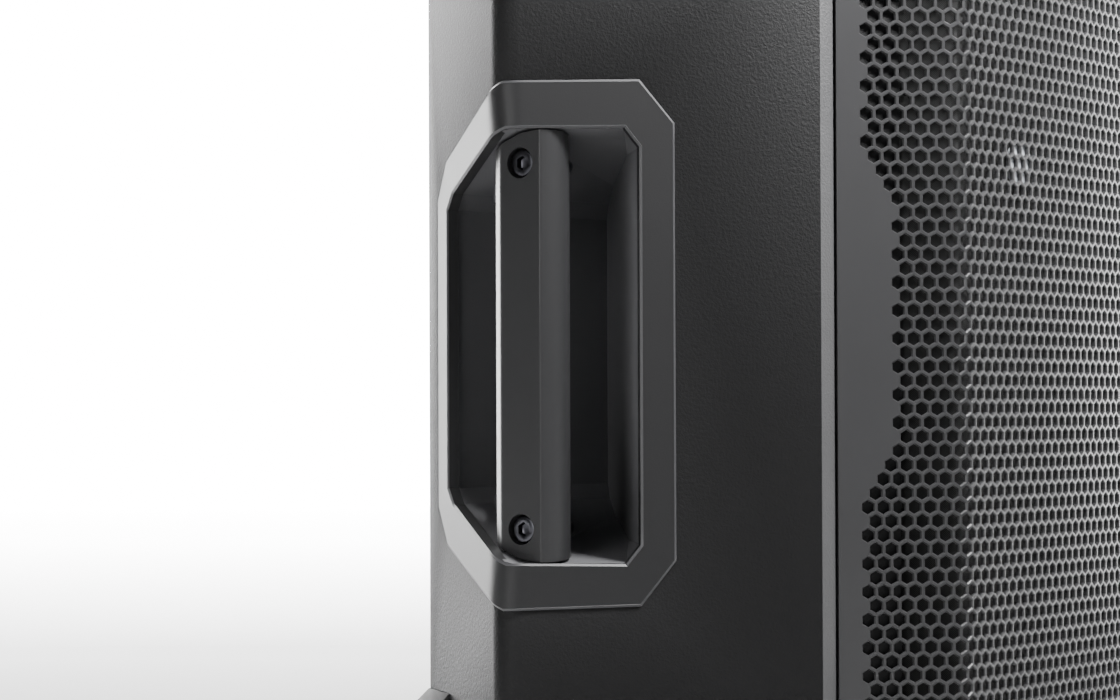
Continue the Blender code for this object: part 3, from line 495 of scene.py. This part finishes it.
def perforated(name, half, line, pitch):
    """Half of the perforated sheet. Hexagonal cells tile the sheet, one to each place of a triangular
    lattice. A cell with a hole is a flat ring at the face, a rolled ring sinking into the hole, the
    hole's wall, and a flat ring at the back. A cell without one is a plain hexagon on both faces, and
    cells past the sheet's edges are cut to them by clamping their corners."""
    grille = settings("grille")
    end = line[0][-1]
    rise = pitch * sqrt(3) / 2
    # the lattice runs past the sheet's edges, where its cells are cut
    rows = np.arange(-grille.rows - 3, grille.rows + 4)
    columns = np.arange(-90, 91) / 2
    row, column = (a.ravel() for a in np.meshgrid(rows, columns, indexing="ij"))
    # every second row is shifted by half a column
    keep = (np.round(column * 2).astype(int) + row) % 2 == 1
    keep &= (column > -0.1) if half > 0 else (column < -0.1)
    row, column = row[keep], column[keep]
    centre = np.stack((column * pitch, MIDDLE + row * rise), axis=1)
    # the field of holes steps back round the handle, half a column to each row
    edge = grille.columns / 2 + 1.5 + 0.5 * np.clip(np.abs(row) - NOTCH_START, 0, NOTCH_ROWS)
    holed = (np.abs(column) <= edge + 0.1) & (np.abs(row) <= grille.rows)

    def ring(flats, picked):
        corners = centre[picked][:, None, :] + hexagon(flats)[None]
        return (np.clip(corners[..., 0], -end, end), np.clip(corners[..., 1], GRILLE_LOW, GRILLE_HIGH))

    cells = ring(pitch, slice(None))
    area = np.abs(np.sum(cells[0] * np.roll(cells[1], -1, 1) - np.roll(cells[0], -1, 1) * cells[1], axis=1))
    real = area > 1e-8
    points, faces, count = [], [], 0

    def lay(flats, picked, sink):
        nonlocal count
        u, z = ring(flats, picked)
        points.append(on_sheet(line, u, z, sink).reshape(-1, 3))
        first = count
        count += u.size
        return first + np.arange(u.size).reshape(-1, 6)

    for picked, has_hole in ((real & holed, True), (real & ~holed, False)):
        face = lay(pitch, picked, 0.0)
        back = lay(pitch, picked, grille.thickness)
        if has_hole:
            rings = [face, lay(grille.face_flats, picked, 0.0),
                     lay(grille.hole_flats, picked, grille.roll_depth),
                     lay(grille.hole_flats, picked, grille.thickness), back]
            for one, two in zip(rings, rings[1:]):
                quads = np.stack((one, np.roll(one, -1, 1), np.roll(two, -1, 1), two), axis=-1)
                faces += quads.reshape(-1, 4).tolist()
        else:
            faces += face.tolist() + back[:, ::-1].tolist()
    # a wall closes the sheet wherever a cell has no neighbour across one of its edges
    u, z = (a[real] for a in cells)
    middle = np.round(np.stack(((u + np.roll(u, -1, 1)) / 2, (z + np.roll(z, -1, 1)) / 2), axis=-1), 6)
    _, where, times = np.unique(middle.reshape(-1, 2), axis=0, return_inverse=True, return_counts=True)
    alone = (times[where.ravel()] == 1).reshape(u.shape)
    sides = [on_sheet(line, a[alone], b[alone], sink)
             for sink in (0.0, grille.thickness)
             for a, b in ((u, z), (np.roll(u, -1, 1), np.roll(z, -1, 1)))]
    number = len(sides[0])
    points += sides
    faces += (count + np.arange(number)[:, None] + np.array((0, 1, 3, 2)) * number).tolist()
    return make(name, np.concatenate(points), faces, weld=2e-6)


class SPEAKER_OT_grille(bpy.types.Operator):
    """Perforated grille in two halves, with the cloth stretched behind it"""
    bl_idname = "speaker.grille"
    bl_label = "Grille and cloth"

    def execute(self, context):
        grille, pitch = settings("grille"), hole_pitch()
        line = sheet_line(0.0, grille.flange_start)
        for word, half in (("left", 1), ("right", -1)):
            sheet = perforated(word + "_grille_half", half, line, pitch)
            settle(sheet, finish("powder"), "cabinet", "black_powder_coated_steel", "grille")
        back = sheet_line(grille.cloth_setback, grille.cloth_start)
        span = back[0][-1]
        heights = np.linspace(GRILLE_LOW + CLOTH_MARGIN, GRILLE_HIGH - CLOTH_MARGIN, 40)
        u, z = np.meshgrid(np.linspace(-span, span, 241), heights, indexing="ij")
        points = on_sheet(back, u, z, 0.0)
        cloth = make("grille_cloth_sheet", points, grid_faces(*u.shape), weld=1e-7)
        if cloth.data.polygons[0].normal.y > 0:
            cloth.data.flip_normals()
        weave = cloth.data.uv_layers.new(name="weave")
        corner = np.empty(len(cloth.data.loops), np.int32)
        cloth.data.loops.foreach_get("vertex_index", corner)
        flat = np.stack((u.ravel(), z.ravel()), axis=1)
        weave.data.foreach_set("uv", flat[corner].astype(np.float32).ravel())
        solid = cloth.modifiers.new("thread", "SOLIDIFY")
        solid.thickness = 0.0005
        settle(cloth, finish("cloth"), "cabinet", "acoustic_cloth", "grille_cloth")
        dress(finish("lens"), 0.0004, "front_lens")
        return {"FINISHED"}


def outline(corners, rake, inset, samples=24):
    """A closed loop of (run, rise) from half an outline and its mirror below, moved inwards by an
    inset along the corners' bisectors, with the same number of samples on every side."""
    half = np.array(corners)
    loop = np.concatenate((half, half[::-1] * (1, -1)))
    loop[:, 1] += rake * loop[:, 0]
    before, after = loop - np.roll(loop, 1, 0), np.roll(loop, -1, 0) - loop
    before /= np.linalg.norm(before, axis=1)[:, None]
    after /= np.linalg.norm(after, axis=1)[:, None]
    bisector = np.stack((-(before + after)[:, 1], (before + after)[:, 0]), axis=1)
    share = 1 + np.sum(before * after, axis=1)
    loop = loop + inset * bisector / share[:, None]
    t = np.arange(samples) / samples
    points = loop[:, None] * (1 - t)[None, :, None] + np.roll(loop, -1, 0)[:, None] * t[None, :, None]
    return points.reshape(-1, 2)


def bezel_bevels(name, side):
    """Two thin strips of painted highlight, each a closed strip with a flat section, laid a hair over the
    bezel's outer and inner bevels in a paler nylon."""
    handle = settings("handle")
    face, bevel, skin = -handle.bezel_proud, handle.bevel, 0.00012
    strips = []
    for corners, rake, sign in ((BEZEL, handle.rake, 1), (OPENING, 0.0, -1)):
        points = []
        for inset, sink, out in ((0.0, face + bevel * 0.7, 1), (bevel, face, 1),
                                 (bevel, face, -1), (0.0, face + bevel * 0.7, -1)):
            flat = outline(corners, rake, sign * (inset - out * skin))
            points.append(folded(side, flat[:, 0], flat[:, 1], sink - out * skin))
        strips.append(np.stack(points))
    count = strips[0][..., 0].size
    faces = grid_faces(*strips[0].shape[:2], True, True)
    faces += (np.array(faces) + count).tolist()
    return make(name, np.concatenate([strip.reshape(-1, 3) for strip in strips]), faces, sharp=24)


def bezel(name, side):
    """The folded bezel: rings of its outline carried from the back edge over a bevel to the face, across
    to the opening's bevel and back down to the back edge, each ring laid on the folded skin."""
    handle = settings("handle")
    face, deep, bevel = -handle.bezel_proud, handle.bezel_thick, handle.bevel
    rings = ((BEZEL, handle.rake, 0.0, deep), (BEZEL, handle.rake, 0.0, face + bevel * 0.7),
             (BEZEL, handle.rake, bevel, face), (OPENING, 0.0, -bevel, face),
             (OPENING, 0.0, 0.0, face + bevel * 0.7), (OPENING, 0.0, 0.0, deep))
    points = []
    for corners, rake, inset, sink in rings:
        flat = outline(corners, rake, inset)
        points.append(folded(side, flat[:, 0], flat[:, 1], sink))
    points = np.stack(points)
    return make(name, points, grid_faces(*points.shape[:2], True, True), sharp=24)


def recess_planes():
    """The recess's walls as points and outward normals, given along, into and up from the corner: a back
    wall turned towards the front, a front wall, ceiling and floor that slope a little, and chamfers where
    they meet the back wall."""
    handle = settings("handle")
    c, s = cos(pi - handle.corner_turn), sin(pi - handle.corner_turn)
    inner = np.array((-sin(handle.recess_turn), cos(handle.recess_turn), 0))
    start = OPENING[-1][0] * np.array((-c, -s, 0))
    front, wall = np.array((OPENING[0][0], 0, 0)), np.array(RECESS_FRONT)
    planes = [(start, inner), (front, np.array((wall[1], -wall[0], 0)))]
    for up in (1, -1):
        rise = np.array((0, 0, up))
        edge = np.array((OPENING[0][0], 0, up * OPENING[0][1]))
        slope = np.array((OPENING[1][0] - OPENING[0][0], 0, up * (OPENING[1][1] - OPENING[0][1])))
        chamfer = np.cross(wall, slope)
        planes += [(rise * CEILING_HIGH, rise + CEILING_FALL * inner),
                   (rise * OPENING[1][1], rise + LIP_FALL * np.array((0, 1, 0))),
                   (rise * (OPENING[-1][1] + inner @ start), rise + inner),
                   (edge, chamfer if chamfer[0] > 0 else -chamfer)]
    return planes


def in_space(side, vector, direction=False):
    """A point or direction given along, into and up from the handle's corner, in the object's frame."""
    corner, along, into = side_frame()
    flat = vector[0] * along + vector[1] * into + (0 if direction else corner)
    return Vector((side * flat[0], flat[1], vector[2] + (0 if direction else HANDLE_Z)))


def cell(side, planes):
    """The convex space behind every one of the planes, as a bmesh with outward faces."""
    bm = bmesh.new()
    bmesh.ops.create_cube(bm, size=1.6)
    for point, normal in planes:
        facing = in_space(side, normal / np.linalg.norm(normal), True)
        cut = bmesh.ops.bisect_plane(bm, geom=[*bm.verts, *bm.edges, *bm.faces],
                                     plane_co=in_space(side, point), plane_no=facing, clear_outer=True)
        rim = [part for part in cut["geom_cut"] if isinstance(part, bmesh.types.BMEdge)]
        bmesh.ops.edgenet_fill(bm, edges=rim)
    bmesh.ops.recalc_face_normals(bm, faces=bm.faces)
    return bm


def from_bmesh(name, bm):
    """A linked object from a bmesh, which is freed."""
    mesh = bpy.data.meshes.new(name)
    bm.to_mesh(mesh)
    bm.free()
    return linked(name, mesh)


def liner(name, side):
    """The recess's walls: the space inside their planes, left open on the two skins, turned inside out
    and given a thickness away from the space."""
    turn = pi - settings("handle").corner_turn
    inwards = (np.array((0, 1.0, 0)), np.array((sin(turn), -cos(turn), 0)))
    bm = cell(side, recess_planes() + [(LINER_DEPTH * way, -way) for way in inwards])
    faced = [in_space(side, -way, True) for way in inwards]
    gone = [f for f in bm.faces if any(f.normal.dot(skin) > 0.999 for skin in faced)]
    bmesh.ops.delete(bm, geom=gone, context="FACES")
    bmesh.ops.reverse_faces(bm, faces=bm.faces)
    obj = from_bmesh(name, bm)
    wall = obj.modifiers.new("wall", "SOLIDIFY")
    wall.thickness = LINER_WALL
    wall.offset = -1.0
    wall.use_even_offset = True
    return obj


def posts(name, side):
    """The two posts that carry the bar: upright prisms behind it, cut off by the recess's walls."""
    middle = np.mean(POST_PLAN, axis=0)
    walls = []
    for (x, y), (x2, y2) in zip(POST_PLAN, POST_PLAN[1:] + POST_PLAN[:1]):
        normal = np.array((y2 - y, x - x2, 0))
        outward = normal[:2] @ (np.array((x, y)) - middle) > 0
        walls.append((np.array((x, y, 0)), normal if outward else -normal))
    up = np.array((0, 0, 1.0))
    upper, lower = (cell(side, recess_planes() + walls + [(POST_START * way, -way)])
                    for way in (up, -up))
    mesh = bpy.data.meshes.new("lower_post")
    lower.to_mesh(mesh)
    lower.free()
    upper.from_mesh(mesh)
    bpy.data.meshes.remove(mesh)
    return from_bmesh(name, upper)


class SPEAKER_OT_handles(bpy.types.Operator):
    """Handle cups, grip bars and their socket screws"""
    bl_idname = "speaker.handles"
    bl_label = "Handles"

    def execute(self, context):
        # the liner and posts are in a paler nylon, painted light in the recess, and the bevel strips are a
        # painted highlight
        pieces = ((bezel, "_handle_bezel", "nylon"), (bezel_bevels, "_handle_bevels", "bevel_highlight"),
                  (liner, "_handle_liner", "liner"), (posts, "_handle_posts", "liner"))
        for word, side in SIDES.items():
            for build, ending, name in pieces:
                settle(build(word + ending, side), finish(name), "cabinet", "black_moulded_plastic",
                       word + "_handle_cup")
            dress(finish("grip"), 0, word + "_handle_bar")
            dress(finish("black_oxide"), 0.0003, word + "_handle_screw_upper",
                  word + "_handle_screw_lower")
        return {"FINISHED"}


class SPEAKER_OT_drivers(bpy.types.Operator):
    """Woofers, waveguide and compression driver"""
    bl_idname = "speaker.drivers"
    bl_label = "Drivers"

    def execute(self, context):
        for word in SIDES:
            dress(finish("steelwork"), 0, word + "_woofer_frame")
            dress(finish("foam"), 0, word + "_surround")
            dress(finish("paper"), 0, word + "_cone")
            dress(finish("ferrite"), 0.001, word + "_magnet")
        dress(finish("nylon"), 0.0005, "waveguide")
        dress(finish("ferrite"), 0.001, "compression_driver")
        return {"FINISHED"}


def contacts(name, node, ring, radius):
    """A socket's contacts: round pins set evenly on a ring about the socket's middle, each a circle of
    the pin's radius carried outwards from the socket's floor, with a rounded tip."""
    low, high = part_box(node)
    middle = np.array(((low.x + high.x) / 2, (low.z + high.z) / 2))
    floor = high.y - SOCKET_DEPTH - 0.0002
    angle = pi / 2 + np.arange(CONTACTS) * 2 * pi / CONTACTS
    places = middle + ring * np.stack((np.cos(angle), np.sin(angle)), axis=1)
    profile = np.array(((0.02, 0.0), (1.0, 0.0), (1.0, 0.86), (0.8, 0.96), (0.02, 1.0)))
    profile *= (radius, CONTACT_REACH)
    turn = np.arange(16) * 2 * pi / 16
    circle = np.stack((np.cos(turn), np.sin(turn)), axis=1)
    plan = places[:, None, None] + profile[None, None, :, 0, None] * circle[None, :, None]
    depth = np.broadcast_to(floor + profile[:, 1], plan.shape[:3])
    points = np.stack((plan[..., 0], depth, plan[..., 1]), axis=-1)
    each = np.array(grid_faces(16, len(profile), True, False))
    caps = np.arange(16)[:, None] * len(profile) + np.array((0, len(profile) - 1))
    count = 16 * len(profile)
    faces = [(each + k * count).tolist() for k in range(CONTACTS)]
    ends = [(caps[:, end] + k * count).tolist() for k in range(CONTACTS) for end in (0, 1)]
    return make(name, points, sum(faces, []) + ends)


def knob_ridges(name, node):
    """A fluted skirt round the knob: its radius follows a cosine, one turn to a flute, on a stack of
    rings that narrows at the top edge."""
    low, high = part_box(node)
    centre = ((low.x + high.x) / 2, (low.z + high.z) / 2)
    outer = (high.x - low.x) / 2 + 0.0002
    turn = np.arange(192) * 2 * pi / 192
    flute = FLUTE_DEPTH * np.cos(FLUTES * turn)
    levels = ((high.y - 0.0128, -0.0012), (high.y - 0.0126, 0.0004), (high.y - 0.0035, 0.0001),
              (high.y - 0.0022, -0.0008), (high.y - 0.0020, -0.0030))
    radius = np.array([outer + grow for _, grow in levels])[:, None] + flute
    depth = np.array([y for y, _ in levels])[:, None] + 0 * flute
    points = np.stack((centre[0] + radius * np.cos(turn), depth, centre[1] + radius * np.sin(turn)),
                      axis=-1)
    return make(name, points, grid_faces(len(levels), len(turn), True, True))


class SPEAKER_OT_rear_panel(bpy.types.Operator):
    """Amplifier plate, heat sink, sockets and controls"""
    bl_idname = "speaker.rear_panel"
    bl_label = "Rear panel"

    def execute(self, context):
        dress(finish("steelwork"), 0.0003, "amp_plate")
        dress(finish("anodised"), 0.0003, "heat_sink")
        dress(finish("laminate"), 0, "circuit_board")
        dress(finish("nylon"), 0.0003, "signal_input", "signal_link", "mains_inlet", "mains_link",
              "mains_switch", "preset_button")
        dress(finish("grip"), 0.0003, "level_knob")
        settle(knob_ridges("level_knob_flutes", "level_knob"), finish("grip"), "level_knob",
               "black_moulded_plastic")
        # radius of the ring of contacts, and of each contact
        sockets = {"signal_input": (0.0042, 0.0011), "signal_link": (0.0042, 0.0011),
                   "mains_inlet": (0.0050, 0.0017), "mains_link": (0.0050, 0.0017)}
        for node, (ring, radius) in sockets.items():
            settle(contacts(node + "_contacts", node, ring, radius), finish("contact"), "cabinet",
                   "zinc_plated_steel")
        dress(finish("lens"), 0.0002, "status_lens")
        return {"FINISHED"}


class SPEAKER_OT_rigging(bpy.types.Operator):
    """Rigging links, pins, trays and tracks, with the bumpers and feet"""
    bl_idname = "speaker.rigging"
    bl_label = "Rigging and bumpers"

    def execute(self, context):
        for word in SIDES:
            dress(finish("steelwork"), 0.0005, word + "_link_tray", word + "_rear_track")
            dress(finish("zinc"), 0.0005, word + "_front_link", word + "_rear_link", word + "_rear_pin")
            dress(finish("rubber"), 0.0008, word + "_bottom_bumper", word + "_top_bumper",
                  word + "_front_foot")
        return {"FINISHED"}


# ------------------------------------------------------------------ stage
def plane(name, centre, facing, width, height):
    """A flat quad, its middle and the way it faces given, standing on its width."""
    facing = Vector(facing).normalized()
    across = facing.orthogonal() if abs(facing.z) > 0.9 else Vector((0, 0, 1)).cross(facing).normalized()
    up = facing.cross(across)
    corners = [Vector(centre) + across * x * width / 2 + up * y * height / 2
               for x, y in ((-1, -1), (1, -1), (1, 1), (-1, 1))]
    mesh = bpy.data.meshes.new(name)
    mesh.from_pydata([tuple(c) for c in corners], [], [(0, 1, 2, 3)])
    return linked(name, mesh)


def stage_material(name, colour, glow):
    """A plain pale stage finish that also glows, so that it reads white."""
    material = bpy.data.materials.new(name)
    material.use_nodes = True
    shader = material.node_tree.nodes["Principled BSDF"]
    shader.inputs["Base Color"].default_value = linear(colour)
    shader.inputs["Roughness"].default_value = 1.0
    shader.inputs["Specular IOR Level"].default_value = 0.0
    shader.inputs["Emission Color"].default_value = (1, 1, 1, 1)
    shader.inputs["Emission Strength"].default_value = glow
    return material


def sweep_material(ahead):
    """The pale floor: white from just behind the object on, a shade greyer in front of it, and glowing
    further back as painted light.
    """
    material = stage_material("pale_floor", "#f2f2f2", 0.0)
    tree = material.node_tree
    place = add_node(tree, "ShaderNodeTexCoord").outputs["Object"]
    along = add_node(tree, "ShaderNodeVectorMath", {"operation": "DOT_PRODUCT", 1: ahead}, {0: place})
    share = add_node(tree, "ShaderNodeMapRange", {"From Min": -0.6, "From Max": 0.3},
                     {"Value": along.outputs["Value"]})
    # painted light: the floor glows more and more from 0.4 m to 2 m behind the object's middle, seen from
    # the camera
    glow = add_node(tree, "ShaderNodeMapRange", {"From Min": 0.4, "From Max": 2.0, "To Max": 7.0},
                    {"Value": along.outputs["Value"]})
    tree.links.new(glow.outputs["Result"], tree.nodes["Principled BSDF"].inputs["Emission Strength"])
    greys = {"data_type": "RGBA", 6: linear("#9a9a9a"), 7: linear("#f6f6f6")}
    mix = add_node(tree, "ShaderNodeMix", greys, {0: share.outputs["Result"]})
    tree.links.new(mix.outputs[2], tree.nodes["Principled BSDF"].inputs["Base Color"])
    return material


def soft_light(name, place, target, size, power):
    """A square area light aimed at a point."""
    lamp = bpy.data.lights.new(name, "AREA")
    lamp.size = size
    lamp.energy = power
    obj = linked(name, lamp)
    obj.location = place
    obj.rotation_euler = (Vector(target) - Vector(place)).to_track_quat("-Z", "Y").to_euler()


class SPEAKER_OT_stage(bpy.types.Operator):
    """Floor, backdrop, lights and camera"""
    bl_idname = "speaker.stage"
    bl_label = "Stage"

    def execute(self, context):
        cabinet, grille = settings("cabinet"), settings("grille")
        corner, along, into = side_frame()
        pitch = hole_pitch()
        # the camera faces the side panel, turned a little towards the front, about 1.35 m away, and its
        # place is counted in hole pitches left of, below and back from a hole of the flange
        reach = cabinet.side_length - grille.bend_column * pitch
        hole = corner + reach * along + grille.flange_depth * into
        hole_z = MIDDLE + pitch * sqrt(3) / 2
        turn = asin(cabinet.front_half / cabinet.front_radius) + cabinet.bend_turn + 0.206
        right = Vector((cos(turn), -sin(turn), 0))
        ahead = Vector((sin(turn), cos(turn), 0))
        place = Vector((*hole, hole_z - 6.12 * pitch)) - 22.55 * pitch * right - 208.5 * pitch * ahead
        pitch_up, roll = 0.0181, 0.0038
        view = ahead * cos(pitch_up) + Vector((0, 0, sin(pitch_up)))
        up = right.cross(view)
        right, up = right * cos(roll) - up * sin(roll), right * sin(roll) + up * cos(roll)
        lens = bpy.data.cameras.new("camera")
        lens.lens = 108.5
        lens.sensor_width = 36
        lens.clip_start, lens.clip_end = 0.05, 50
        camera = linked("camera", lens)
        turned = Matrix((right, up, -view)).transposed()
        camera.matrix_world = Matrix.Translation(place) @ turned.to_4x4()
        context.scene.camera = camera

        floor = plane("floor", (0, 0, -0.0005), (0, 0, 1), 14, 14)
        floor.data.materials.append(sweep_material(ahead))
        backdrop = plane("backdrop", Vector((0, 0, 2.2)) + ahead * 3.4, -ahead, 9, 5)
        backdrop.data.materials.append(stage_material("white_backdrop", "#ffffff", 13.0))

        target = Vector((-0.15, -0.05, 0.18))
        soft_light("background_light", ahead * 1.9 + Vector((-0.2, 0.4, 2.6)), ahead * 1.9, 3.0, 110)
        soft_light("top_light", (-0.32, -0.33, 0.62), target + Vector((-0.1, -0.05, 0.10)), 0.14, 11)
        soft_light("front_light", (1.35, -1.75, 1.5), target, 1.0, 1.8)
        soft_light("fill_light", (-1.10, 0.05, 0.30), target + Vector((-0.15, 0.08, 0)), 0.40, 3.5)
        world = bpy.data.worlds.new("studio")
        world.use_nodes = True
        sky = world.node_tree.nodes["Background"]
        sky.inputs["Color"].default_value = linear("#ffffff")
        sky.inputs["Strength"].default_value = 0.05
        context.scene.world = world
        return {"FINISHED"}


# ------------------------------------------------------------------ add-on
OPERATORS = (SPEAKER_OT_stage, SPEAKER_OT_cabinet, SPEAKER_OT_grille, SPEAKER_OT_handles,
             SPEAKER_OT_drivers, SPEAKER_OT_rear_panel, SPEAKER_OT_rigging)


class SPEAKER_PT_pieces(bpy.types.Panel):
    """Sizes, colours and pieces of the module"""
    bl_label = "Speaker"
    bl_idname = "SPEAKER_PT_pieces"
    bl_space_type = "VIEW_3D"
    bl_region_type = "UI"
    bl_category = "Speaker"

    def draw(self, context):
        for name, group in PROPERTIES.items():
            box = self.layout.box()
            for key in group.__annotations__:
                box.prop(getattr(context.scene, name), key)
        for operator in OPERATORS:
            self.layout.operator(operator.bl_idname)


def register():
    for cls in (*PROPERTIES.values(), *OPERATORS, SPEAKER_PT_pieces):
        bpy.utils.register_class(cls)
    for name, group in PROPERTIES.items():
        setattr(bpy.types.Scene, name, PointerProperty(type=group))


def unregister():
    for name in PROPERTIES:
        delattr(bpy.types.Scene, name)
    for cls in reversed((*PROPERTIES.values(), *OPERATORS, SPEAKER_PT_pieces)):
        bpy.utils.unregister_class(cls)


def main():
    """Builds every piece through its operator."""
    register()
    for operator in OPERATORS:
        group, name = operator.bl_idname.split(".")
        getattr(getattr(bpy.ops, group), name)()


if __name__ == "__main__":
    main()
